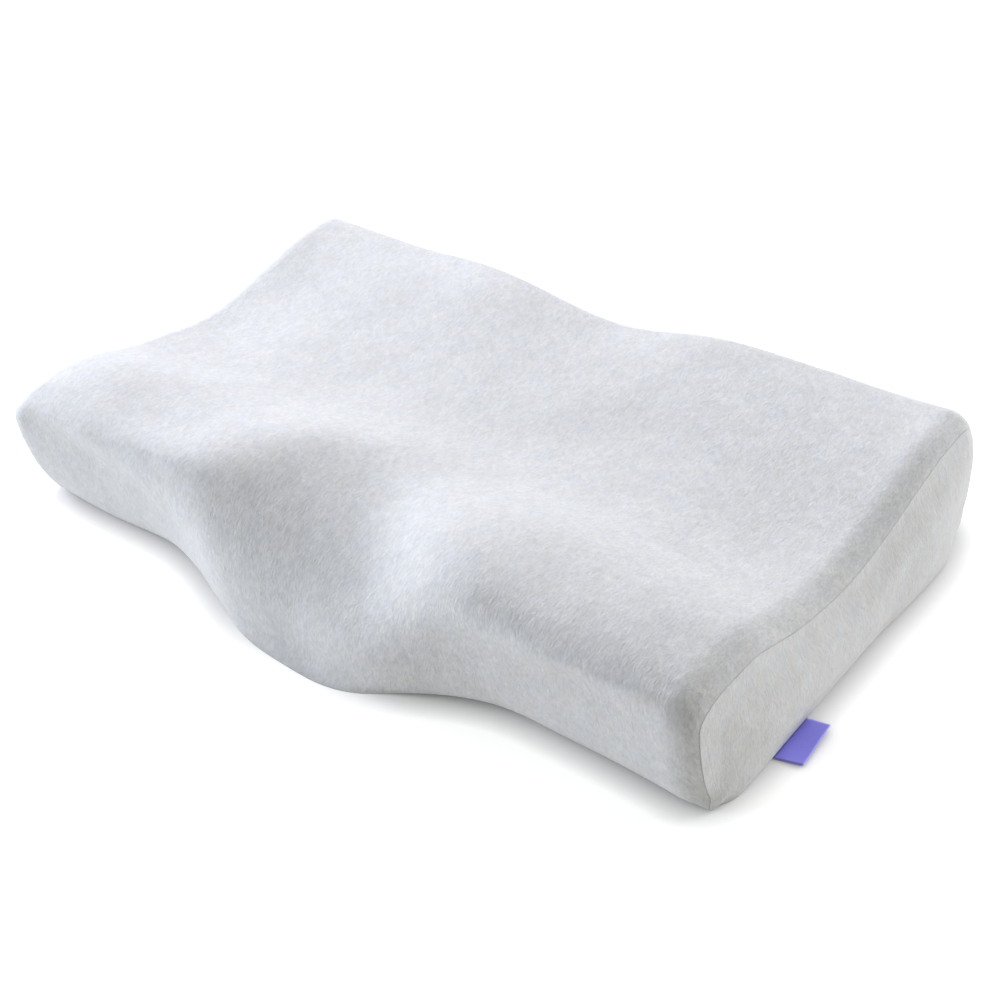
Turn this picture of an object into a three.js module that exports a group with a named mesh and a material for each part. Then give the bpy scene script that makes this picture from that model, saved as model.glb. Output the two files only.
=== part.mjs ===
// Cervical pillow: a contoured neck pillow in a brushed-knit cover.
//
// One filled body (wrap cloth on its fill), a thin sewn-in panel at each end
// and a folded ribbon tab caught in the bottom seam of the right end.
// Millimetres. +X runs along the pillow, -Y is the front (neck) edge,
// +Y the back edge and +Z is up. The origin is on the flat base, in the middle
// of the length.
import * as THREE from 'three';
import { mergeVertices } from 'three/addons/utils/BufferGeometryUtils.js';

// ---------------------------------------------------------------- dimensions
const LENGTH = 630;        // between the two end seams
const END_ROLL = 20;       // the wrap rolls in over this length before a seam
const END_TURN = 0.90;     // share of a quarter round that the roll makes
const WALL_DRAW = 1.05;    // the walls are drawn in this much more than the top
const BACK_ROUND = 0.53;   // handle lengths of the section's curves
const TROUGH_ROUND = 0.34;
const GAP = 0.3;           // between neighbouring pieces

// an end panel: how far the fill pushes it out along its bottom edge at the
// front and at the back, and at its middle; its turn under the base, the cloth's
// thickness with its seam allowance and its clearance from the body
const PANEL = { toe: 7.8, toeBack: 12.5, crown: 9, crownTop: 84, under: 4.5, cloth: 2.0, gap: 0.35 };
// how far from the seam a panel has risen fully, low down and high up
const PANEL_RISE = { low: { front: 18, back: 48 }, high: { front: 105, back: 26 } };

// the folded ribbon tab: its width along the seam, how far it reaches out, the
// cloth's thickness, the space inside the fold and its middle's place along Y
const TAB = { width: 42, reach: 18.5, cloth: 0.9, fold: 0.8, y: -101.5 };

// Cross-sections at u = distance from the middle / half length.
// FB front bottom edge, FW widest point of the front wall, FM middle of the
// front slope, FC front crest, V trough, BC back crest, BW widest point of the
// back wall, BB back bottom edge.
const COLUMNS = ['u', 'yFB', 'yFW', 'zFW', 'yFM', 'zFM', 'yFC', 'zFC', 'yV', 'zV', 'yBC', 'zBC', 'yBW', 'zBW', 'yBB'];
const SECTIONS = [
  [0.00, -234, -222, 11, -191, 72, -104,  96, -22, 79, 138,  94, 162, 42, 140],
  [0.22, -221, -221, 21, -197, 77, -141, 103, -16, 79, 144,  97, 165, 40, 142],
  [0.42, -177, -203, 27, -201, 90, -163, 104, -12, 79, 151,  98, 170, 48, 146],
  [0.62, -176, -198, 52, -202, 90, -158, 101, -12, 79, 152,  98, 172, 54, 148],
  [0.82, -177, -201, 68, -200, 90, -155, 101, -14, 76, 151,  99, 174, 56, 147],
  [1.00, -171, -209, 72, -192, 90, -146,  94, -18, 76, 145, 104, 177, 62, 142],
];

// The two raised neck lobes, one at each side of the head hollow: a lobe starts
// at `start` from the middle of the length where y = -105 and its inner side
// runs aslant by `slant`; behind it ends at y = `back`. `innerRun` and `backRun`
// are the lengths of those two slopes and `corner` rounds the join between them.
// From `endStart` on, the back slope comes forward by `endForward` at the seam.
const LOBE = {
  rise: 7.7, start: 42.8, slant: 0.42, innerRun: 61.5, back: -93.3, backRun: 64.9, corner: 1.7,
  endForward: 16, endStart: 190,
};
// how finely the skins are divided
const STATIONS = 46;                       // along the length
const ARC_STEPS = [4, 4, 5, 7, 8, 6, 4];      // along each curve of a section
const CAP_ROWS = 8;                        // up an end

// ------------------------------------------------------------ the sections
// natural cubic spline through (xs, ys)
function naturalSpline(xs, ys) {
  const n = xs.length, h = [], m = new Array(n).fill(0), c = [], d = [];
  for (let i = 0; i < n - 1; i++) h.push(xs[i + 1] - xs[i]);
  c[0] = 0; d[0] = 0;
  for (let i = 1; i < n - 1; i++) {
    const rhs = 6 * ((ys[i + 1] - ys[i]) / h[i] - (ys[i] - ys[i - 1]) / h[i - 1]);
    const w = 2 * (h[i - 1] + h[i]) - h[i - 1] * (c[i - 1] || 0);
    c[i] = h[i] / w;
    d[i] = (rhs - h[i - 1] * (d[i - 1] || 0)) / w;
  }
  for (let i = n - 2; i > 0; i--) m[i] = d[i] - c[i] * m[i + 1];
  return (x) => {
    let i = 0;
    while (i < n - 2 && x > xs[i + 1]) i++;
    const a = (xs[i + 1] - x) / h[i], b = (x - xs[i]) / h[i];
    return a * ys[i] + b * ys[i + 1]
      + ((a ** 3 - a) * m[i] + (b ** 3 - b) * m[i + 1]) * h[i] * h[i] / 6;
  };
}

// each column is a smooth function of u, the same on both sides of the middle
const profile = {};
COLUMNS.slice(1).forEach((name, k) => {
  const right = SECTIONS.map((row) => [row[0], row[k + 1]]);
  const left = right.slice(1).reverse().map(([u, v]) => [-u, v]);
  const all = left.concat(right);
  profile[name] = naturalSpline(all.map((p) => p[0]), all.map((p) => p[1]));
});

// the curves of one section, from the front bottom edge over to the back one
function sectionCurves(u) {
  const v = Object.fromEntries(Object.entries(profile).map(([k, f]) => [k, f(u)]));
  const P = (y, z) => new THREE.Vector2(y, z);
  const FB = P(v.yFB, 0), FW = P(v.yFW, v.zFW), FM = P(v.yFM, v.zFM), FC = P(v.yFC, v.zFC);
  const V = P(v.yV, v.zV), BC = P(v.yBC, v.zBC), BW = P(v.yBW, v.zBW), BB = P(v.yBB, 0);
  const slope = FC.clone().sub(FW).normalize();
  const along = (point, length) => point.clone().addScaledVector(slope, length);
  const toWall = FM.distanceTo(FW) / 3, toCrest = FC.distanceTo(FM) / 3;
  const T = TROUGH_ROUND, B = BACK_ROUND;
  const curve = (a, b, c, d) => new THREE.CubicBezierCurve(a, b, c, d);
  return [
    curve(FB, P(FB.x + 0.55 * (FW.x - FB.x), 0), P(FW.x, 0.4 * FW.y), FW),
    curve(FW, P(FW.x, FW.y + 0.5 * (FM.y - FW.y)), along(FM, -toWall), FM),
    curve(FM, along(FM, toCrest), P(FC.x - 0.45 * (FC.x - FM.x), FC.y), FC),
    curve(FC, P(FC.x + T * (V.x - FC.x), FC.y), P(V.x - T * (V.x - FC.x), V.y), V),
    curve(V, P(V.x + T * (BC.x - V.x), V.y), P(BC.x - T * (BC.x - V.x), BC.y), BC),
    curve(BC, P(BC.x + B * (BW.x - BC.x), BC.y), P(BW.x, BW.y + B * (BC.y - BW.y)), BW),
    curve(BW, P(BW.x, 0.4 * BW.y), P(BB.x + 0.55 * (BW.x - BB.x), 0), BB),
  ];
}

// how much a lobe lifts the skin at (x, y, z); nothing at the floor
const clamp = (v, lo = 0, hi = 1) => Math.min(hi, Math.max(lo, v));
const ease = (t) => t * t * (3 - 2 * t);
function lobeLift(x, y, z) {
  const L = LOBE;
  const inner = (Math.abs(x) - L.start + (y + 105) * L.slant) / Math.hypot(1, L.slant) / L.innerRun;
  const forward = L.endForward * ease(clamp((Math.abs(x) - L.endStart) / (LENGTH / 2 - L.endStart)));
  const behind = (L.back - forward - y) / L.backRun;
  const h = clamp(0.5 + 0.5 * (behind - inner) / L.corner);
  const both = behind * (1 - h) + inner * h - L.corner * h * (1 - h);
  return L.rise * ease(clamp(both + 0.5)) * ease(clamp(z / 50));
}

// one section's points, lifted by the lobes and rolled in near the ends
function ring(x) {
  const half = LENGTH / 2, u = x / half;
  const t = Math.min(1, Math.max(0, (Math.abs(x) - (half - END_ROLL)) / END_ROLL)) * END_TURN;
  const draw = END_ROLL * (1 - Math.sqrt(1 - t * t));
  const raw = [];
  sectionCurves(u).forEach((curve, s) => {
    const steps = ARC_STEPS[s], last = s === ARC_STEPS.length - 1;
    for (let i = 0; i < steps + (last ? 1 : 0); i++) raw.push(curve.getPoint(i / steps));
  });
  for (const p of raw) p.y += lobeLift(x, p.x, p.y);
  const points = raw.map((p, i) => {
    const a = raw[Math.max(0, i - 1)], b = raw[Math.min(raw.length - 1, i + 1)];
    const run = Math.hypot(b.x - a.x, b.y - a.y);
    const outY = -(b.y - a.y) / run * WALL_DRAW * Math.min(1, p.y / 12);
    const outZ = Math.max(0, (b.x - a.x) / run);
    return new THREE.Vector2(p.x - outY * draw, Math.max(0, p.y - outZ * draw));
  });
  return points;
}

// ------------------------------------------------------------- skin building
class Skin {
  constructor() { this.positions = []; this.index = []; }
  vertex(x, y, z) { this.positions.push(x, y, z); return this.positions.length / 3 - 1; }
  triangle(a, b, c) { this.index.push(a, b, c); }
  // joins two rows of vertices of the same length
  strip(rowA, rowB, flip) {
    for (let i = 0; i + 1 < rowA.length; i++) {
      const [a, b, c, d] = [rowA[i], rowA[i + 1], rowB[i + 1], rowB[i]];
      if (flip) { this.triangle(a, c, b); this.triangle(a, d, c); }
      else { this.triangle(a, b, c); this.triangle(a, c, d); }
    }
  }
  geometry() {
    let g = new THREE.BufferGeometry();
    g.setAttribute('position', new THREE.Float32BufferAttribute(this.positions, 3));
    g.setIndex(this.index);
    g = mergeVertices(g, 1e-4);
    // drop the triangles that merging has closed up
    const keep = [], idx = g.index.array;
    for (let i = 0; i < idx.length; i += 3) {
      const [a, b, c] = [idx[i], idx[i + 1], idx[i + 2]];
      if (a !== b && b !== c && a !== c) keep.push(a, b, c);
    }
    g.setIndex(keep);
    g.computeVertexNormals();
    return g;
  }
}

// distance of the point (y, z) to the seam's loop
function toLoop(y, z, loop) {
  let best = Infinity;
  for (let i = 0; i + 1 < loop.length; i++) {
    const a = loop[i], b = loop[i + 1], dy = b.x - a.x, dz = b.y - a.y;
    const t = clamp(((y - a.x) * dy + (z - a.y) * dz) / Math.max(dy * dy + dz * dz, 1e-9));
    best = Math.min(best, Math.hypot(y - a.x - t * dy, z - a.y - t * dz));
  }
  return best;
}

// an end's surface: CAP_ROWS rows from the bottom edge (0) up to the seam,
// following the seam's loop, pushed out by the fill; side is +1 or -1
function endSurface(side, offset) {
  const half = LENGTH / 2, loop = ring(half);
  const y0 = loop[0].x, y1 = loop[loop.length - 1].x;
  const rows = [];
  for (let r = 0; r <= CAP_ROWS; r++) {
    // 0 at the bottom edge, 1 at the seam, closer together near both
    const k = 0.5 - 0.5 * Math.cos(Math.PI * r / CAP_ROWS);
    rows.push(loop.map((p) => {
      const foot = clamp(p.x, y0, y1);
      const y = p.x * k + foot * (1 - k), z = p.y * k;
      const d = toLoop(y, z, loop);
      const up = ease(clamp(z / 45)), back = ease(clamp((y - 20) / 120));
      const mix = (pair) => pair.front + (pair.back - pair.front) * back;
      const rise = mix(PANEL_RISE.low) * (1 - up) + mix(PANEL_RISE.high) * up;
      const full = 1 - (1 - clamp(d / rise)) ** 2;
      const b = clamp((y - y0) / (y1 - y0));   // along the bottom edge
      const bow = 1 - Math.abs(2 * b - 1) ** 3.5;
      const toe = PANEL.toe + (PANEL.toeBack - PANEL.toe) * ease(clamp(y / 85)) * (1 - up);
      const crown = PANEL.crown * bow * Math.sin(Math.PI * clamp(z / PANEL.crownTop));
      const turn = 1 - clamp(z / PANEL.under);
      const under = PANEL.under * (1 - Math.sqrt(1 - turn * turn)) * 0.6;
      const x = half + full * toe + ease(clamp(d / 24)) * crown - ease(clamp(d / 24)) * under + offset;
      return new THREE.Vector3(side * x, y, z);
    }));
  }
  return rows;
}

// ------------------------------------------------------------------ the body
function bodyGeometry() {
  const half = LENGTH / 2, skin = new Skin();
  const xs = [];
  for (let i = 0; i <= STATIONS; i++) {
    const s = -1 + 2 * i / STATIONS;
    xs.push(half * Math.sin(s * Math.PI / 2 * 0.85) / Math.sin(Math.PI / 2 * 0.85));
  }
  // rows of the wrap, station by station
  const rows = xs.map((x) => ring(x).map((p) => skin.vertex(x, p.x, p.y)));
  for (let i = 0; i + 1 < rows.length; i++) skin.strip(rows[i], rows[i + 1], true);
  // the two ends
  const bottoms = {};
  for (const side of [-1, 1]) {
    const grid = endSurface(side, 0).map((row) => row.map((p) => skin.vertex(p.x, p.y, p.z)));
    for (let r = 0; r + 1 < grid.length; r++) skin.strip(grid[r], grid[r + 1], side < 0);
    bottoms[side] = endSurface(side, 0)[0];
  }
  // the flat base, one plane inside the bottom edges
  const outline = [];
  const add = (x, y) => {
    const q = outline[outline.length - 1];
    if (!q || Math.hypot(q.x - x, q.y - y) > 1e-3) outline.push(new THREE.Vector2(x, y));
  };
  const corner = (i, j) => {
    const k = rows[i][j] * 3;
    return [skin.positions[k], skin.positions[k + 1]];
  };
  const lastPoint = rows[0].length - 1;
  for (let i = 0; i < rows.length; i++) add(...corner(i, 0));
  bottoms[1].forEach((p) => add(p.x, p.y));
  for (let i = rows.length - 1; i >= 0; i--) add(...corner(i, lastPoint));
  [...bottoms[-1]].reverse().forEach((p) => add(p.x, p.y));
  const first = outline[0], end = outline[outline.length - 1];
  if (first.distanceTo(end) < 1e-3) outline.pop();
  const ids = outline.map((p) => skin.vertex(p.x, p.y, 0));
  for (const [a, b, c] of THREE.ShapeUtils.triangulateShape(outline, [])) {
    skin.triangle(ids[a], ids[c], ids[b]);
  }
  return skin.geometry();
}

// -------------------------------------------------------------- an end panel
function panelGeometry(side) {
  const skin = new Skin();
  const make = (offset) => endSurface(side, offset)
    .map((row) => row.map((p) => skin.vertex(p.x, p.y, p.z)));
  const inner = make(PANEL.gap), outer = make(PANEL.gap + PANEL.cloth);
  for (let r = 0; r + 1 < inner.length; r++) {
    skin.strip(inner[r], inner[r + 1], side > 0);
    skin.strip(outer[r], outer[r + 1], side < 0);
  }
  const top = CAP_ROWS;
  skin.strip(inner[top], outer[top], side > 0);
  skin.strip(inner[0], outer[0], side < 0);
  return skin.geometry();
}

// ------------------------------------------------------------------- the tab
// a ribbon folded back on itself, lying out from the bottom seam
function tabGeometry() {
  const { width, reach, cloth, fold } = TAB;
  const high = 2 * cloth + fold, r = high / 2, ri = fold / 2;
  const s = new THREE.Shape();
  s.moveTo(0, 0);
  s.lineTo(reach - r, 0);
  s.absarc(reach - r, r, r, -Math.PI / 2, Math.PI / 2, false);
  s.lineTo(0, high);
  s.lineTo(0, high - cloth);
  s.lineTo(reach - r, high - cloth);
  s.absarc(reach - r, r, ri, Math.PI / 2, -Math.PI / 2, true);
  s.lineTo(0, cloth);
  s.lineTo(0, 0);
  const g = new THREE.ExtrudeGeometry(s, { depth: width, bevelEnabled: false, curveSegments: 5 });
  g.rotateX(Math.PI / 2);      // the section stands up, the ribbon runs along Y
  return g;
}

// where the tab starts: just clear of the panel's face over the tab's height
function tabRoot() {
  const high = 2 * TAB.cloth + TAB.fold, rows = endSurface(1, PANEL.gap + PANEL.cloth);
  let out = 0;
  for (let r = 0; r < CAP_ROWS; r++) {
    rows[r].forEach((low, i) => {
      const up = rows[r + 1][i];
      if (Math.abs(low.y - TAB.y) > TAB.width || low.z > high) return;
      const t = Math.min(1, (high - low.z) / Math.max(1e-6, up.z - low.z));
      out = Math.max(out, low.x, low.x + t * (up.x - low.x));
    });
  }
  return out + GAP;
}

// ------------------------------------------------------------------ assembly
const fabric = (hex, rough) => new THREE.MeshStandardMaterial({ color: hex, roughness: rough, metalness: 0 });
const piece = (name, geometry, material) => {
  const mesh = new THREE.Mesh(geometry, material);
  mesh.name = name;
  return mesh;
};

const pillow = new THREE.Group();
pillow.add(piece('pillow_body', bodyGeometry(), fabric(0xc9c9cb, 0.95)));
pillow.add(piece('end_panel_right', panelGeometry(1), fabric(0xbfbfc1, 0.95)));
pillow.add(piece('end_panel_left', panelGeometry(-1), fabric(0xbfbfc1, 0.95)));

const tab = piece('label_tab', tabGeometry(), fabric(0x7f76dc, 0.7));
tab.position.set(tabRoot(), TAB.y + TAB.width / 2, 0);
pillow.add(tab);

export default pillow;
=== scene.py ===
"""Cervical pillow: a contoured neck pillow in a brushed heather-grey knit cover.

The wrap of the cover, the two end panels that are sewn in at the ends and the
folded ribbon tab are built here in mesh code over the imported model. Sizes in
the tables are in millimetres; the scene is in metres.
"""

import math

import bmesh
import bpy
import numpy as np
from mathutils import Matrix, Vector


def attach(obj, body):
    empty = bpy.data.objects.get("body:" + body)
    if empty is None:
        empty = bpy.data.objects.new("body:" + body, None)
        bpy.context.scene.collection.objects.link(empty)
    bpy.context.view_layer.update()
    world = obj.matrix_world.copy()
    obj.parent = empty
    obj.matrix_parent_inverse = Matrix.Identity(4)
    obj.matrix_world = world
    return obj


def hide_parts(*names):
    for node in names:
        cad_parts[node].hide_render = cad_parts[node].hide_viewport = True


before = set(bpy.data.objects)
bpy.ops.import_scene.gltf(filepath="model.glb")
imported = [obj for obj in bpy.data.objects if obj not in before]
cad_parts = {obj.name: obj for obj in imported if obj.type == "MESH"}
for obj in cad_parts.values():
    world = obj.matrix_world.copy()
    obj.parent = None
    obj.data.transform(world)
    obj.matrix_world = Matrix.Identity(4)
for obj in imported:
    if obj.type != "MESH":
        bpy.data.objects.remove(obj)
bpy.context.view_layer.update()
MM = 0.001

# ---------------------------------------------------------------- dimensions
LENGTH = 630.0          # between the two end seams
END_ROLL = 20.0         # the wrap rolls in over this length before a seam
END_TURN = 0.90         # share of a quarter round that the roll makes
WALL_DRAW = 1.05        # the walls are drawn in this much more than the top
BACK_ROUND = 0.53       # handle lengths of the section's curves
TROUGH_ROUND = 0.34

# an end panel: how far the fill pushes it out along its bottom edge at the
# front and at the back, and at its middle; its turn under the base, the cloth's
# thickness and its clearance from the body
PANEL = {"toe": 7.8, "toe_back": 12.5, "crown": 9.0, "crown_top": 84.0,
         "under": 4.5, "cloth": 1.2, "gap": 0.3}
# how far from the seam a panel has risen fully, low down and high up, in front
# and at the back; the left end is filled more tightly
PANEL_RISE = {1: {"low": (18.0, 48.0), "high": (105.0, 26.0)},
              -1: {"low": (48.0, 48.0), "high": (50.0, 24.0)}}

# the folded ribbon tab: width along the seam, reach, cloth, space in the fold,
# middle along Y, how far its free end lifts and how much one side curls
TAB = {"width": 42.0, "reach": 18.5, "cloth": 0.55, "fold": 0.7, "y": -101.5,
       "lift": 2.2, "curl": 2.0}

# Cross-sections at u = distance from the middle / half length.
# FB front bottom edge, FW widest point of the front wall, FM middle of the
# front slope, FC front crest, V trough, BC back crest, BW widest point of the
# back wall, BB back bottom edge.
COLUMNS = ["yFB", "yFW", "zFW", "yFM", "zFM", "yFC", "zFC", "yV", "zV",
           "yBC", "zBC", "yBW", "zBW", "yBB"]
SECTIONS = {
    0.00: [-234, -222, 11, -191, 72, -104, 96, -22, 79, 138, 94, 162, 42, 140],
    0.22: [-221, -221, 21, -197, 77, -141, 103, -16, 79, 144, 97, 165, 40, 142],
    0.42: [-177, -203, 27, -201, 90, -163, 104, -12, 79, 151, 98, 170, 48, 146],
    0.62: [-176, -198, 52, -202, 90, -158, 101, -12, 79, 152, 98, 172, 54, 148],
    0.82: [-177, -201, 68, -200, 90, -155, 101, -14, 76, 151, 99, 174, 56, 147],
    1.00: [-171, -209, 72, -192, 90, -146, 94, -18, 76, 145, 104, 177, 62, 142],
}
# the settled filling leans: these are added at the right side of the middle and
# taken off at the left
LEAN_COLUMNS = ["yFB", "yFW", "zFW", "yFM", "zFM", "yFC", "zFC"]
LEAN = {
    0.22: [-1.5, 0.0, 0.0, 3.3, -5.5, 1.1, -2.1],
    0.42: [3.0, 0.0, 0.0, -0.8, 0.9, 0.0, 4.7],
    0.62: [2.8, 0.0, 0.0, -1.4, 1.1, 0.1, 3.0],
    0.82: [4.2, 0.0, 0.0, 0.0, 0.0, 0.0, 0.0],
    1.00: [-4.0, 2.8, -2.5, 2.5, 0.0, 0.0, 0.0],
}
# the two raised neck lobes beside the head hollow
LOBE = {"rise": 7.7, "start": 42.8, "slant": 0.42, "inner_run": 61.5,
        "back": -93.3, "back_run": 64.9, "corner": 1.7,
        "end_forward": 16.0, "end_start": 190.0}

# places where the fill stands a little higher than the section says
# (x, y, radius, height)
SETTLED = [(-105, 138, 62, 3.6), (-30, 150, 45, 2.2), (38, 150, 42, -3.8),
           (128, 155, 45, 3.2), (296, 152, 42, -3.0), (-314, -52, 56, 4.4)]

STATIONS = 281
ARC_STEPS = [14, 20, 24, 44, 46, 28, 16]
PANEL_ROWS = 40
HALF = LENGTH / 2


# ------------------------------------------------------------ the sections
def natural_spline(xs, ys, at):
    """Natural cubic spline through (xs, ys), read at the values in at."""
    xs, ys = np.array(xs, float), np.array(ys, float)
    n, h = len(xs), np.diff(xs)
    a, b = np.eye(n), np.zeros(n)
    for i in range(1, n - 1):
        a[i, i - 1:i + 2] = [h[i - 1], 2 * (h[i - 1] + h[i]), h[i]]
        b[i] = 6 * ((ys[i + 1] - ys[i]) / h[i] - (ys[i] - ys[i - 1]) / h[i - 1])
    m = np.linalg.solve(a, b)
    i = np.clip(np.searchsorted(xs, at) - 1, 0, n - 2)
    p, q = (xs[i + 1] - at) / h[i], (at - xs[i]) / h[i]
    return (p * ys[i] + q * ys[i + 1]
            + ((p ** 3 - p) * m[i] + (q ** 3 - q) * m[i + 1]) * h[i] ** 2 / 6)


def bezier(a, b, c, d, steps):
    t = np.linspace(0, 1, steps, endpoint=False)[None, :, None]
    a, b, c, d = (p[:, None, :] for p in (a, b, c, d))
    return (a * (1 - t) ** 3 + 3 * b * t * (1 - t) ** 2
            + 3 * c * t * t * (1 - t) + d * t ** 3)


def ease(t):
    t = np.clip(t, 0, 1)
    return t * t * (3 - 2 * t)


def lean(name, u):
    if name not in LEAN_COLUMNS or abs(u) not in LEAN:
        return 0.0
    more = LEAN[abs(u)][LEAN_COLUMNS.index(name)]
    return more if u > 0 else -more


def sections(x):
    """The section's points (y, z) at each x, from the front bottom edge over."""
    us = sorted(SECTIONS)
    knots = [-u for u in us[:0:-1]] + us
    col = {}
    for k, name in enumerate(COLUMNS):
        values = [SECTIONS[abs(u)][k] + lean(name, u) for u in knots]
        col[name] = natural_spline(knots, values, x / HALF)

    def at(y, z):
        return np.stack([y, z], 1)

    zero = np.zeros_like(x)
    c = col
    FB, FW, FM, FC = (at(c["yFB"], zero), at(c["yFW"], c["zFW"]),
                      at(c["yFM"], c["zFM"]), at(c["yFC"], c["zFC"]))
    V, BC, BW, BB = (at(c["yV"], c["zV"]), at(c["yBC"], c["zBC"]),
                     at(c["yBW"], c["zBW"]), at(c["yBB"], zero))
    slope = FC - FW
    slope /= np.linalg.norm(slope, axis=1, keepdims=True)
    to_wall = slope * np.linalg.norm(FM - FW, axis=1, keepdims=True) / 3
    to_crest = slope * np.linalg.norm(FC - FM, axis=1, keepdims=True) / 3
    T, B = TROUGH_ROUND, BACK_ROUND
    parts = [
        bezier(FB, at(FB[:, 0] + 0.55 * (FW[:, 0] - FB[:, 0]), zero),
               at(FW[:, 0], 0.4 * FW[:, 1]), FW, ARC_STEPS[0]),
        bezier(FW, at(FW[:, 0], FW[:, 1] + 0.5 * (FM[:, 1] - FW[:, 1])),
               FM - to_wall, FM, ARC_STEPS[1]),
        bezier(FM, FM + to_crest, at(FC[:, 0] - 0.45 * (FC[:, 0] - FM[:, 0]), FC[:, 1]),
               FC, ARC_STEPS[2]),
        bezier(FC, at(FC[:, 0] + T * (V[:, 0] - FC[:, 0]), FC[:, 1]),
               at(V[:, 0] - T * (V[:, 0] - FC[:, 0]), V[:, 1]), V, ARC_STEPS[3]),
        bezier(V, at(V[:, 0] + T * (BC[:, 0] - V[:, 0]), V[:, 1]),
               at(BC[:, 0] - T * (BC[:, 0] - V[:, 0]), BC[:, 1]), BC, ARC_STEPS[4]),
        bezier(BC, at(BC[:, 0] + B * (BW[:, 0] - BC[:, 0]), BC[:, 1]),
               at(BW[:, 0], BW[:, 1] + B * (BC[:, 1] - BW[:, 1])), BW, ARC_STEPS[5]),
        bezier(BW, at(BW[:, 0], 0.4 * BW[:, 1]),
               at(BB[:, 0] + 0.55 * (BW[:, 0] - BB[:, 0]), zero), BB, ARC_STEPS[6]),
        BB[:, None, :],
    ]
    return np.concatenate(parts, 1)


def lobe_lift(x, y, z):
    L = LOBE
    inner = ((np.abs(x) - L["start"] + (y + 105) * L["slant"])
             / math.hypot(1, L["slant"]) / L["inner_run"])
    forward = L["end_forward"] * ease((np.abs(x) - L["end_start"]) / (HALF - L["end_start"]))
    behind = (L["back"] - forward - y) / L["back_run"]
    h = np.clip(0.5 + 0.5 * (behind - inner) / L["corner"], 0, 1)
    both = behind * (1 - h) + inner * h - L["corner"] * h * (1 - h)
    return L["rise"] * ease(both + 0.5) * ease(z / 50)


def soft_waves(a, b, length, seed, count=16):
    """Smooth irregular unevenness of about unit size, repeatable."""
    rng = np.random.default_rng(seed)
    out = np.zeros(np.broadcast(a, b).shape)
    for _ in range(count):
        k = 2 * math.pi / length * rng.uniform(0.65, 1.45)
        t, phase = rng.uniform(0, math.pi), rng.uniform(0, 2 * math.pi)
        out += np.sin(k * (a * math.cos(t) + b * math.sin(t)) + phase)
    return out / math.sqrt(count / 2)


def grid_normals(P):
    n = np.cross(np.gradient(P, axis=0), np.gradient(P, axis=1))
    return n / (np.linalg.norm(n, axis=-1, keepdims=True) + 1e-12)


def wrap_grid():
    """The wrap's points and its cloth coordinates (along, round), in mm."""
    s = np.linspace(-1, 1, STATIONS)
    x = HALF * np.sin(s * math.pi / 2 * 0.92) / math.sin(math.pi / 2 * 0.92)
    S = sections(x)
    S[..., 1] += lobe_lift(x[:, None], S[..., 0], S[..., 1])
    for cx, cy, radius, height in SETTLED:
        away = ((x[:, None] - cx) ** 2 + (S[..., 0] - cy) ** 2) / radius ** 2
        S[..., 1] += height * np.exp(-away) * ease(S[..., 1] / 60)
    d = np.clip((np.abs(x) - (HALF - END_ROLL)) / END_ROLL, 0, 1) * END_TURN
    draw = END_ROLL * (1 - np.sqrt(1 - d * d))
    run = np.gradient(S, axis=1)
    out = np.stack([-run[..., 1], run[..., 0]], -1)
    out /= np.linalg.norm(out, axis=-1, keepdims=True) + 1e-9
    out[..., 1] = np.maximum(out[..., 1], 0)
    out[..., 0] *= WALL_DRAW * np.clip(S[..., 1] / 12, 0, 1)
    S = S - out * draw[:, None, None]
    S[..., 1] = np.maximum(S[..., 1], 0)
    P = np.concatenate([np.broadcast_to(x[:, None, None], S.shape[:2] + (1,)), S], -1)

    step = np.linalg.norm(np.diff(P, axis=1), axis=-1)
    v = np.concatenate([np.zeros((STATIONS, 1)), np.cumsum(step, 1)], 1)
    v -= v[:, sum(ARC_STEPS[:4])][:, None]         # measured from the trough
    u = P[..., 0]

    # the knit lies a little unevenly over the fill, and gathers at the end seams
    from_seam = HALF - np.abs(u)
    away = 1 - np.exp(-from_seam / 6)
    ground = ease(P[..., 2] / 14)
    uneven = 0.35 * soft_waves(u, v, 105, 11) + 0.09 * soft_waves(u, v, 45, 12)
    phase = v / 12.5 * 2 * math.pi + 2.4 * soft_waves(v, 0 * v, 70, 14)
    gather = (0.20 * np.sin(phase) + 0.10 * np.sin(1.9 * phase + 1.3))
    gather = gather * np.exp(-from_seam / 8) * (1 - np.exp(-from_seam / 1.6))
    n = -grid_normals(P)
    n[..., 0] *= np.clip(from_seam / 4, 0, 1)
    P = P + n * ((uneven * away + gather) * ground)[..., None]
    P[..., 2] = np.maximum(P[..., 2], 0)
    return P, np.stack([u, v], -1)


def distance_to_line(pts, line):
    """Distance of each (y, z) in pts to the polyline."""
    flat = pts.reshape(-1, 2)
    best = np.full(len(flat), 1e9)
    for a, b in zip(line[:-1], line[1:]):
        ab = b - a
        t = np.clip(((flat - a) @ ab) / max(ab @ ab, 1e-9), 0, 1)
        best = np.minimum(best, np.linalg.norm(flat - a - t[:, None] * ab, axis=1))
    return best.reshape(pts.shape[:-1])


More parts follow.
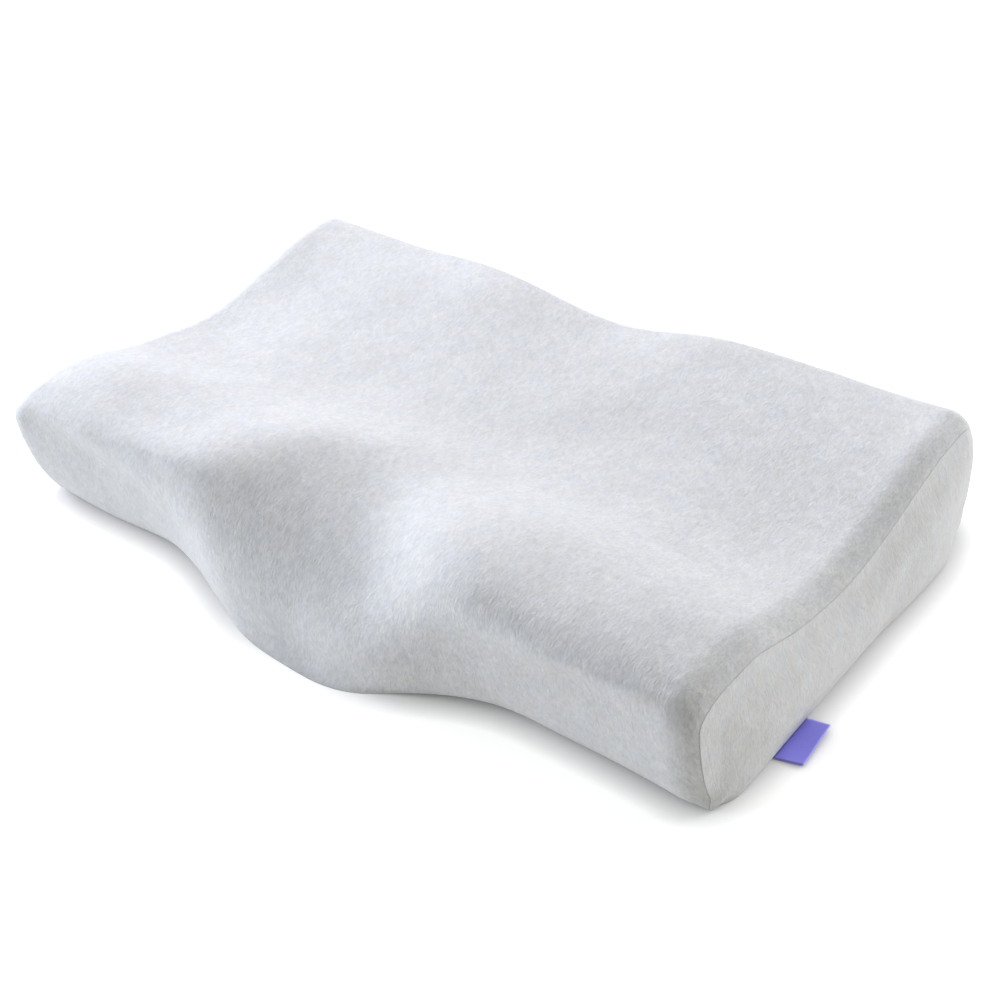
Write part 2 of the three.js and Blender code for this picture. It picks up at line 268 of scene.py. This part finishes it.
def end_grid(side, loop):
    """An end panel's outer face over its seam loop (y, z), pushed out by the
    fill; row 0 is the bottom edge and the last row lies in the seam."""
    t = np.linspace(0, 1, PANEL_ROWS)
    k = (0.5 - 0.5 * np.cos(math.pi * t))[:, None]
    y0, y1 = loop[0, 0], loop[-1, 0]
    foot = np.clip(loop[:, 0], y0, y1)[None, :]
    y = loop[None, :, 0] * k + foot * (1 - k)
    z = loop[None, :, 1] * k
    d = distance_to_line(np.stack([y, z], -1), loop)
    up, back = ease(z / 45), ease((y - 20) / 120)
    low, high = (a + (b - a) * back for a, b in (PANEL_RISE[side]["low"],
                                                 PANEL_RISE[side]["high"]))
    rise = low + (high - low) * up
    full = 1 - (1 - np.clip(d / rise, 0, 1)) ** 2
    b = np.clip((y - y0) / (y1 - y0), 0, 1)
    bow = 1 - np.abs(2 * b - 1) ** 3.5
    toe = PANEL["toe"] + (PANEL["toe_back"] - PANEL["toe"]) * ease(y / 85) * (1 - up)
    crown = PANEL["crown"] * bow * np.sin(math.pi * np.clip(z / PANEL["crown_top"], 0, 1))
    out = full * toe + ease(d / 24) * crown
    turn = 1 - np.clip(z / PANEL["under"], 0, 1)
    out = out - ease(d / 24) * PANEL["under"] * (1 - np.sqrt(1 - turn * turn)) * 0.6
    # soft unevenness and the seam's gathers
    uneven = 0.3 * soft_waves(y, z, 70, 21 + side) + 0.1 * soft_waves(y, z, 32, 24 + side)
    round_ = np.concatenate([[0], np.cumsum(np.linalg.norm(np.diff(loop, axis=0), axis=1))])
    phase = round_[None, :] / 12.5 * 2 * math.pi + 2.4 * soft_waves(round_, 0 * round_, 70, 27)[None, :]
    gather = 0.15 * np.sin(phase) * np.exp(-d / 7) * (1 - np.exp(-d / 2))
    out = out + uneven * ease(d / 16) * ease(z / 8) + gather * ease(z / 10)
    return np.stack([side * (HALF + PANEL["gap"] + out), y, z], -1)


def panel_normals(P, side):
    n = grid_normals(P)
    n *= np.sign((n[..., 0] * side).mean())
    n[0, :, 2] = 0                                 # the bottom edge stays down
    n /= np.linalg.norm(n, axis=-1, keepdims=True) + 1e-12
    return n


# ------------------------------------------------------------- mesh building
def strips(first, rows, cols, flip):
    faces = []
    for i in range(rows - 1):
        for j in range(cols - 1):
            a = first + i * cols + j
            q = (a, a + 1, a + cols + 1, a + cols)
            faces.append(q[::-1] if flip else q)
    return faces


def make_object(name, points, faces, uv, fill_hole=False, smooth=True):
    """A closed mesh from points (mm) and faces; uv is in mm, one per point."""
    mesh = bpy.data.meshes.new(name)
    mesh.from_pydata((np.asarray(points) * MM).tolist(), [], faces)
    layer = mesh.uv_layers.new(name="cloth")
    ids = np.zeros(len(mesh.loops), int)
    mesh.loops.foreach_get("vertex_index", ids)
    layer.data.foreach_set("uv", (np.asarray(uv)[ids] * MM).ravel())
    bm = bmesh.new()
    bm.from_mesh(mesh)
    bmesh.ops.remove_doubles(bm, verts=bm.verts, dist=2e-6)
    if fill_hole:
        edges = [e for e in bm.edges if e.is_boundary]
        made = bmesh.ops.holes_fill(bm, edges=edges, sides=0)["faces"]
        lay = bm.loops.layers.uv["cloth"]
        for f in made:
            for loop in f.loops:
                loop[lay].uv = (loop.vert.co.x, loop.vert.co.y)
    bmesh.ops.recalc_face_normals(bm, faces=bm.faces)
    for f in bm.faces:
        f.smooth = smooth and len(f.verts) < 5
    bm.to_mesh(mesh)
    bm.free()
    obj = bpy.data.objects.new(name, mesh)
    bpy.context.scene.collection.objects.link(obj)
    return obj


def build_cover():
    P, uv = wrap_grid()
    rows, cols = P.shape[:2]
    points, coords = [P.reshape(-1, 3)], [uv.reshape(-1, 2)]
    faces = strips(0, rows, cols, True)
    count = rows * cols
    for side, edge in ((-1, P[0]), (1, P[-1])):
        face = end_grid(side, edge[:, 1:])
        n = panel_normals(face, side)
        cap = face - n * (PANEL["cloth"] + 0.5)
        cap[..., 0] = side * np.minimum(side * cap[..., 0], side * face[..., 0] - 0.25)
        cap[..., 2] = np.maximum(cap[..., 2], 0)
        cap[0, :, 2] = 0
        cap[-1] = edge
        cap[:, 0] = np.where(cap[:, :1, 2] >= 0, cap[:, 0], cap[:, 0])
        points.append(cap.reshape(-1, 3))
        coords.append(np.stack([cap[..., 1], cap[..., 2]], -1).reshape(-1, 2))
        faces += strips(count, *cap.shape[:2], side < 0)
        count += cap.shape[0] * cap.shape[1]
    return P, make_object("pillow_cover", np.concatenate(points), faces,
                          np.concatenate(coords), fill_hole=True)


def build_panel(name, side, edge):
    outer = end_grid(side, edge[:, 1:])
    n = panel_normals(outer, side)
    inner = outer - n * PANEL["cloth"]
    inner[..., 2] = np.maximum(inner[..., 2], 0)
    inner[0, :, 2] = 0
    rows, cols = outer.shape[:2]
    points = np.concatenate([outer.reshape(-1, 3), inner.reshape(-1, 3)])
    uv = np.stack([points[:, 1], points[:, 2]], -1)
    m = rows * cols
    faces = strips(0, rows, cols, side < 0) + strips(m, rows, cols, side > 0)
    for j in range(cols - 1):
        top = (rows - 1) * cols + j
        faces += [(top, top + 1, m + top + 1, m + top), (j + 1, j, m + j, m + j + 1)]
    obj = make_object(name, points, faces, uv)
    area = 0.0
    a = outer[1:, 1:] - outer[:-1, :-1]
    b = outer[1:, :-1] - outer[:-1, 1:]
    area = 0.5 * np.linalg.norm(np.cross(a, b), axis=-1).sum() * MM * MM
    return obj, area, outer


def build_tab(root_x):
    """A ribbon folded back on itself; its free end lifts and one side curls."""
    T = TAB
    high = 2 * T["cloth"] + T["fold"]
    r, ri = high / 2, T["fold"] / 2
    reach = T["reach"]
    run = np.linspace(0, reach - r, 12)
    turn = np.linspace(-math.pi / 2, math.pi / 2, 9)
    outside = ([(x, 0) for x in run]
               + [(reach - r + r * math.cos(a), r + r * math.sin(a)) for a in turn[1:-1]]
               + [(x, high) for x in run[::-1]])
    inside = ([(x, high - T["cloth"]) for x in run]
              + [(reach - r + ri * math.cos(a), r + ri * math.sin(a)) for a in turn[::-1][1:-1]]
              + [(x, T["cloth"]) for x in run[::-1]])
    profile = np.array(outside + inside)
    ys = np.linspace(-T["width"] / 2, T["width"] / 2, 29)
    points, uv = [], []
    for y in ys:
        w = y / (T["width"] / 2)                    # -1 at the front side
        along = profile[:, 0] / reach
        lift = T["lift"] * along ** 1.6 + T["curl"] * along * ease((w + 1) / 2 - 0.25)
        lift = lift + 0.7 * along * np.sin(w * 2.6 + 0.6)
        x = profile[:, 0] * (1 - 0.03 * w) - 0.4 * w * along
        shear = 1.2 * along
        pinch = 0.5 + 0.5 * ease(along * 3)         # pressed flat in the seam
        for (px, pz), dx, dz, sh, thin in zip(profile, x, lift, shear, pinch):
            points.append((root_x + dx, T["y"] + y * (1 - 0.11 * px / reach) + sh,
                           0.15 + pz * thin + dz))
        s = np.concatenate([[0], np.cumsum(np.linalg.norm(np.diff(profile, axis=0), axis=1))])
        uv += [(y, q) for q in s]
    n = len(profile)
    faces = []
    for i in range(len(ys) - 1):
        for j in range(n):
            a, b = i * n + j, i * n + (j + 1) % n
            faces.append((a, b, b + n, a + n))
    # close the two sides: the hairpin's two outlines run in opposite directions
    half = len(outside)
    for i, flip in ((0, False), (len(ys) - 1, True)):
        for j in range(half - 1):
            q = (i * n + j, i * n + j + 1, i * n + n - 2 - j, i * n + n - 1 - j)
            faces.append(q if flip else q[::-1])
    return make_object("ribbon_tab", np.array(points), faces, np.array(uv))


# ---------------------------------------------------------------- materials
class Nodes:
    """Small helper to write node trees in a few lines."""

    def __init__(self, name):
        self.mat = bpy.data.materials.new(name)
        self.mat.use_nodes = True
        self.tree = self.mat.node_tree
        self.tree.nodes.clear()
        self.out = self.add("ShaderNodeOutputMaterial")
        self.bsdf = self.add("ShaderNodeBsdfPrincipled")
        self.link(self.bsdf.outputs["BSDF"], self.out.inputs["Surface"])

    def add(self, kind, **props):
        node = self.tree.nodes.new(kind)
        for k, v in props.items():
            setattr(node, k, v)
        return node

    def link(self, a, b):
        self.tree.links.new(a, b)

    def put(self, socket, value):
        if hasattr(value, "is_output"):
            self.link(value, socket)
        else:
            socket.default_value = value

    def math(self, op, a, b=0.0, c=0.0, clamp=False):
        node = self.add("ShaderNodeMath", operation=op, use_clamp=clamp)
        for socket, value in zip(node.inputs, (a, b, c)):
            self.put(socket, value)
        return node.outputs[0]

    def mapping(self, coords, scale, turn=0.0):
        node = self.add("ShaderNodeMapping")
        self.link(coords, node.inputs["Vector"])
        node.inputs["Scale"].default_value = scale
        node.inputs["Rotation"].default_value = (0, 0, math.radians(turn))
        return node.outputs[0]

    def noise(self, coords, scale=1.0, detail=2.0, rough=0.5, distort=0.0):
        node = self.add("ShaderNodeTexNoise", noise_dimensions="2D")
        self.link(coords, node.inputs["Vector"])
        node.inputs["Scale"].default_value = scale
        node.inputs["Detail"].default_value = detail
        node.inputs["Roughness"].default_value = rough
        node.inputs["Distortion"].default_value = distort
        return node.outputs["Fac"]

    def ramp(self, value, lo, hi, to_lo=0.0, to_hi=1.0):
        node = self.add("ShaderNodeMapRange", clamp=True, interpolation_type="SMOOTHSTEP")
        for socket, v in zip(node.inputs, (value, lo, hi, to_lo, to_hi)):
            self.put(socket, v)
        return node.outputs[0]

    def mix(self, fac, a, b, blend="MIX"):
        node = self.add("ShaderNodeMix", data_type="RGBA", blend_type=blend)
        self.put(node.inputs[0], fac)
        self.put(node.inputs[6], a)
        self.put(node.inputs[7], b)
        return node.outputs[2]

    def bump(self, height, strength, distance, before=None):
        node = self.add("ShaderNodeBump")
        node.inputs["Strength"].default_value = strength
        node.inputs["Distance"].default_value = distance
        self.link(height, node.inputs["Height"])
        if before is not None:
            self.link(before, node.inputs["Normal"])
        return node.outputs[0]


def grey(v, r=1.0, g=1.0, b=1.0):
    return (v * r, v * g, v * b, 1.0)


def knit(name, value, streak, mottle):
    """Brushed heather knit: short streaks of light and dark fibre along the
    cloth's second coordinate, a faint mottle and a raised, fuzzy pile."""
    n = Nodes(name)
    uv = n.add("ShaderNodeUVMap", uv_map="cloth").outputs[0]
    fine = n.noise(n.mapping(uv, (1150, 330, 1)), 1.0, 2.0, 0.55, 0.35)
    short = n.noise(n.mapping(uv, (560, 190, 1), 7), 1.0, 2.5, 0.6, 0.6)
    specks = n.noise(n.mapping(uv, (900, 700, 1), 30), 1.0, 1.5, 0.6)
    tufts = n.noise(n.mapping(uv, (250, 165, 1), 12), 1.0, 2.5, 0.6, 0.5)
    patch = n.noise(n.mapping(uv, (105, 80, 1), 20), 1.0, 3.0, 0.6, 0.4)
    broad = n.noise(n.mapping(uv, (42, 34, 1), 50), 1.0, 2.0, 0.5)
    tint_a = n.noise(n.mapping(uv, (70, 55, 1), 65), 1.0, 2.0, 0.5)
    tint_b = n.noise(n.mapping(uv, (60, 70, 1), 110), 1.0, 2.0, 0.5)

    heather = n.math("ADD", n.math("MULTIPLY", fine, 0.26), n.math("MULTIPLY", short, 0.36))
    heather = n.math("ADD", heather, n.math("MULTIPLY", specks, 0.12))
    heather = n.math("ADD", heather, n.math("MULTIPLY", tufts, 0.26))
    heather = n.ramp(heather, 0.33, 0.67)
    base = n.mix(heather, grey(value * (1 - streak), b=0.985), grey(value * (1 + streak * 0.8), b=0.985))
    blot = n.ramp(patch, 0.28, 0.72, 1 - mottle, 1 + mottle * 0.7)
    wide = n.ramp(broad, 0.3, 0.7, 0.978, 1.018)
    base = n.mix(1.0, base, n.add_grey(n.math("MULTIPLY", blot, wide)), "MULTIPLY")
    base = n.mix(n.ramp(tint_a, 0.42, 0.68, 0.0, 0.55), base, n.tinted(base, (0.975, 0.985, 1.03)))
    base = n.mix(n.ramp(tint_b, 0.46, 0.70, 0.0, 0.55), base, n.tinted(base, (1.012, 1.006, 0.975)))
    # painted shade: the base colour is darkened in a band on the wrap next to its end seams, where the
    # wrap rolls in away from the light
    sides = n.add("ShaderNodeSeparateXYZ")
    n.link(uv, sides.inputs[0])
    painted_seam_shade = n.ramp(n.math("ABSOLUTE", sides.outputs[0]), 0.290, 0.309, 1.0, 0.93)
    base = n.mix(1.0, base, n.add_grey(painted_seam_shade), "MULTIPLY")
    n.link(base, n.bsdf.inputs["Base Color"])

    rough = n.ramp(n.math("ADD", n.math("MULTIPLY", short, 0.6), n.math("MULTIPLY", patch, 0.4)),
                   0.3, 0.7, 0.82, 0.98)
    n.link(rough, n.bsdf.inputs["Roughness"])
    n.bsdf.inputs["Specular IOR Level"].default_value = 0.18
    n.bsdf.inputs["Sheen Weight"].default_value = 0.22
    n.bsdf.inputs["Sheen Roughness"].default_value = 0.55

    pile = n.math("ADD", n.math("MULTIPLY", fine, 0.25), n.math("MULTIPLY", short, 0.35))
    pile = n.math("ADD", pile, n.math("MULTIPLY", tufts, 0.40))
    normal = n.bump(pile, 0.55, 0.0016)
    n.link(normal, n.bsdf.inputs["Normal"])
    return n.mat


def _add_grey(self, value):
    node = self.add("ShaderNodeCombineColor")
    for socket in node.inputs[:3]:
        self.link(value, socket)
    return node.outputs[0]


def _tinted(self, colour, tint):
    return self.mix(1.0, colour, (*tint, 1.0), "MULTIPLY")


Nodes.add_grey = _add_grey
Nodes.tinted = _tinted


def ribbon(name):
    """Woven satin ribbon: fine cross ribs, a lighter selvedge and a soft sheen."""
    n = Nodes(name)
    uv = n.add("ShaderNodeUVMap", uv_map="cloth").outputs[0]
    rib = n.add("ShaderNodeTexWave", wave_type="BANDS", bands_direction="Y", wave_profile="SIN")
    n.link(n.mapping(uv, (1, 1, 1)), rib.inputs["Vector"])
    rib.inputs["Scale"].default_value = 420
    rib.inputs["Distortion"].default_value = 0.6
    rib.inputs["Detail"].default_value = 1.0
    thread = n.noise(n.mapping(uv, (1800, 500, 1)), 1.0, 2.0, 0.5)
    cloud = n.noise(n.mapping(uv, (130, 160, 1)), 1.0, 2.0, 0.5)
    sides = n.add("ShaderNodeSeparateXYZ")
    n.link(uv, sides.inputs[0])
    edge = n.ramp(n.math("ABSOLUTE", sides.outputs[0]), 0.0186, 0.0205, 0.0, 1.0)
    mixfac = n.math("ADD", n.math("MULTIPLY", rib.outputs["Fac"], 0.35), n.math("MULTIPLY", thread, 0.65))
    base = n.mix(mixfac, (0.20, 0.18, 0.78, 1), (0.33, 0.31, 0.97, 1))
    base = n.mix(n.math("MULTIPLY", edge, 0.45), base, (0.40, 0.37, 0.93, 1))
    base = n.mix(n.ramp(cloud, 0.35, 0.7, 0.0, 0.18), base, (0.30, 0.27, 0.86, 1))
    n.link(base, n.bsdf.inputs["Base Color"])
    n.link(n.ramp(thread, 0.3, 0.7, 0.42, 0.62), n.bsdf.inputs["Roughness"])
    n.bsdf.inputs["Sheen Weight"].default_value = 0.15
    n.link(n.bump(mixfac, 0.4, 0.0002), n.bsdf.inputs["Normal"])
    return n.mat


# -------------------------------------------------------------------- build
wrap, cover = build_cover()
panel_r, area_r, face_r = build_panel("end_cover_right", 1, wrap[-1])
panel_l, area_l, face_l = build_panel("end_cover_left", -1, wrap[0])
low = face_r[:6][np.abs(face_r[:6, :, 1] - TAB["y"]) < TAB["width"] / 2 + 4]
tab = build_tab(float(low[low[:, 2] < 1.2][:, 0].max()) + 0.3)

cover.data.materials.append(knit("cover_knit", 0.48, 0.13, 0.04))
end_knit = knit("cover_knit_end", 0.48, 0.09, 0.03)
for obj in (panel_r, panel_l):
    obj.data.materials.append(end_knit)
tab.data.materials.append(ribbon("tab_ribbon"))

for obj, node, slot in ((cover, "pillow_body", "cover_knit"),
                        (panel_r, "end_panel_right", "cover_knit_end"),
                        (panel_l, "end_panel_left", "cover_knit_end"),
                        (tab, "label_tab", "tab_ribbon")):
    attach(obj, "root")
    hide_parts(node)

# -------------------------------------------------------- floor and lighting
floor_mesh = bpy.data.meshes.new("floor")
floor_mesh.from_pydata([(-5, -5, 0), (5, -5, 0), (5, 5, 0), (-5, 5, 0)], [], [(0, 1, 2, 3)])
floor = bpy.data.objects.new("floor", floor_mesh)
floor.location.z = -0.0002
bpy.context.scene.collection.objects.link(floor)
paper = Nodes("floor_paper")
# a lit white table: it glows evenly, and close to what stands on it its glow is dimmed by ambient
# occlusion, a painted contact shadow
paper.bsdf.inputs["Base Color"].default_value = (0.4, 0.4, 0.4, 1)
paper.bsdf.inputs["Emission Color"].default_value = (1.0, 1.0, 0.985, 1)
close = paper.add("ShaderNodeAmbientOcclusion", samples=2)
close.inputs["Distance"].default_value = 0.019
paper.link(paper.math("MULTIPLY", paper.math("POWER", close.outputs["AO"], 1.1), 0.70),
           paper.bsdf.inputs["Emission Strength"])
paper.bsdf.inputs["Roughness"].default_value = 0.9
paper.bsdf.inputs["Specular IOR Level"].default_value = 0.1
floor.data.materials.append(paper.mat)

world = bpy.data.worlds.new("studio")
world.use_nodes = True
# a faint warm fill on the object; seen directly it is a plain pale backdrop
fill = world.node_tree.nodes["Background"]
fill.inputs[0].default_value = (1.0, 0.95, 0.80, 1)
fill.inputs[1].default_value = 0.10
pale = world.node_tree.nodes.new("ShaderNodeBackground")
pale.inputs[0].default_value = (0.86, 0.87, 0.88, 1)
pale.inputs[1].default_value = 1.0
seen = world.node_tree.nodes.new("ShaderNodeLightPath")
pick = world.node_tree.nodes.new("ShaderNodeMixShader")
world.node_tree.links.new(seen.outputs["Is Camera Ray"], pick.inputs[0])
world.node_tree.links.new(fill.outputs[0], pick.inputs[1])
world.node_tree.links.new(pale.outputs[0], pick.inputs[2])
world.node_tree.links.new(pick.outputs[0], world.node_tree.nodes["World Output"].inputs[0])
bpy.context.scene.world = world

# softboxes: azimuth (0 from the front, 90 from the right), elevation, distance
# and width in metres, power in watts and colour
SOFTBOXES = {
    "left": (-90, 14, 2.4, 1.1, 43, (0.97, 0.99, 1.10)),
    "left_high": (-90, 38, 2.4, 1.1, 18, (0.97, 0.98, 1.10)),
    "front_left": (-45, 14, 2.4, 1.1, 31, (0.92, 1.00, 1.16)),
    "front_left_high": (-45, 42, 2.4, 1.2, 12, (0.92, 1.00, 1.12)),
    "back_left": (-135, 38, 2.4, 1.1, 24, (0.97, 0.99, 1.12)),
    "back": (180, 46, 2.4, 1.2, 15, (0.98, 0.99, 1.02)),
    "back_right": (135, 14, 2.4, 1.1, 24, (0.98, 1.00, 1.08)),
    "back_right_high": (135, 40, 2.4, 1.1, 20, (0.98, 1.01, 1.06)),
    "right": (90, 14, 2.4, 1.1, 7, (1.05, 1.00, 0.88)),
    "front_high": (0, 50, 2.4, 1.3, 8, (1.0, 0.98, 0.92)),
}


def softbox(name, azimuth, elevation, distance, width, power, colour):
    lamp = bpy.data.lights.new(name, "AREA")
    lamp.shape, lamp.size, lamp.energy, lamp.color = "SQUARE", width, power, colour
    obj = bpy.data.objects.new(name, lamp)
    a, e = math.radians(azimuth), math.radians(elevation)
    way = Vector((math.sin(a) * math.cos(e), -math.cos(a) * math.cos(e), math.sin(e)))
    obj.location = way * distance + Vector((0, 0, 0.05))
    obj.rotation_mode = "QUATERNION"
    obj.rotation_quaternion = way.to_track_quat("Z", "Y")
    bpy.context.scene.collection.objects.link(obj)
    return obj


# the low left box stands square to the left end and would bleach it, so it is
# flagged off that panel
flagged = bpy.data.collections.new("lit_from_left")
for obj in (cover, panel_r, tab, floor):
    flagged.objects.link(obj)
for lamp_name, spec in SOFTBOXES.items():
    lamp_obj = softbox(lamp_name, *spec)
    if lamp_name == "left":
        lamp_obj.light_linking.receiver_collection = flagged

# ------------------------------------------------------------------- camera
CAMERA = {"azimuth": 41.91, "elevation": 36.22, "roll": 5.6, "distance": 1.2045,
          "target": (0.0072, -0.0016, 0.0), "lens": 1537.0 / 1000 * 36}
az, el, roll = (math.radians(CAMERA[k]) for k in ("azimuth", "elevation", "roll"))
forward = Vector((-math.sin(az) * math.cos(el), math.cos(az) * math.cos(el), -math.sin(el)))
level = Vector((math.cos(az), math.sin(az), 0))
down = forward.cross(level)
right = level * math.cos(roll) + down * math.sin(roll)
down = down * math.cos(roll) - level * math.sin(roll)
lens = bpy.data.cameras.new("camera")
lens.sensor_width, lens.lens = 36.0, CAMERA["lens"]
lens.clip_start, lens.clip_end = 0.05, 50
camera = bpy.data.objects.new("camera", lens)
basis = Matrix((right, -down, -forward)).transposed().to_4x4()
basis.translation = Vector(CAMERA["target"]) - forward * CAMERA["distance"]
camera.matrix_world = basis
bpy.context.scene.collection.objects.link(camera)
bpy.context.scene.camera = camera
bpy.context.scene.view_settings.view_transform = "Standard"
